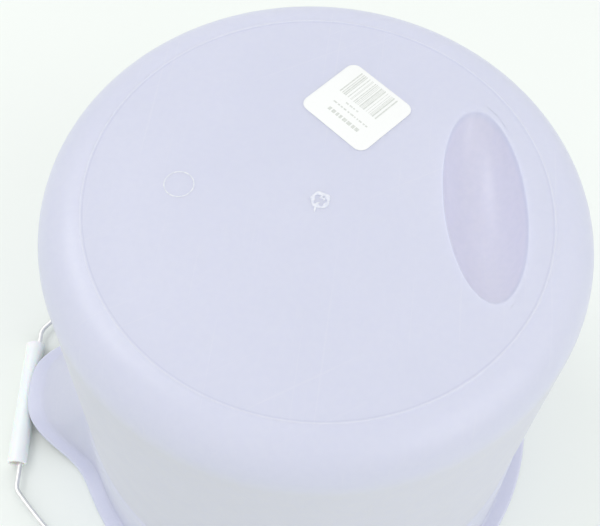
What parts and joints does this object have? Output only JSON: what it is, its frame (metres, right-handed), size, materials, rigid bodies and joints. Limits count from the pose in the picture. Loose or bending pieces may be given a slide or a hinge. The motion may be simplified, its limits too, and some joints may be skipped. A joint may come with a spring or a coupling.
{
  "type": "wash bucket",
  "caption": "Round tapered plastic pail with a pouring spout, a finger recess in its base, and a swinging wire bail that carries a loose grip tube; modelled standing upside down on its rim.",
  "frame": {"origin": "centre of the part's own bounding box on the surface that the upside-down pail stands on, in the plane of its rim; the pail's axis is 0.0188 m towards +X from it", "axes": "+Z from the rim towards the closed base, so the pail stands upside down; the spout points along -X, and the bail's ears lie on a line parallel to Y through the pail's axis. Turned half a turn about Y, the pail stands upright on its base with the spout along +X"},
  "size_m": [0.3236, 0.3058, 0.2403],
  "materials": {
    "pail_plastic": "satin moulded polyethylene, pale periwinkle",
    "wire_steel": "bright zinc-plated wire",
    "grip_plastic": "smooth white plastic tube",
    "label_paper": "white coated paper sticker"
  },
  "bodies": {
    "bucket": {"pail": "pail_plastic", "label": "label_paper"},
    "bail": {"bail_wire": "wire_steel"},
    "grip_tube": {"grip": "grip_plastic"}
  },
  "joints": [
    {"name": "bail_swing", "type": "hinge", "parent": "bucket", "child": "bail", "pos_m": [0.0188, 0, 0.017], "axis": [0, -1, 0], "range_deg": [0, 218]},
    {"name": "grip_spin", "type": "hinge", "parent": "bail", "child": "grip_tube", "pos_m": [-0.156, 0, 0.0058], "axis": [0, 1, 0], "continuous": true}
  ]
}
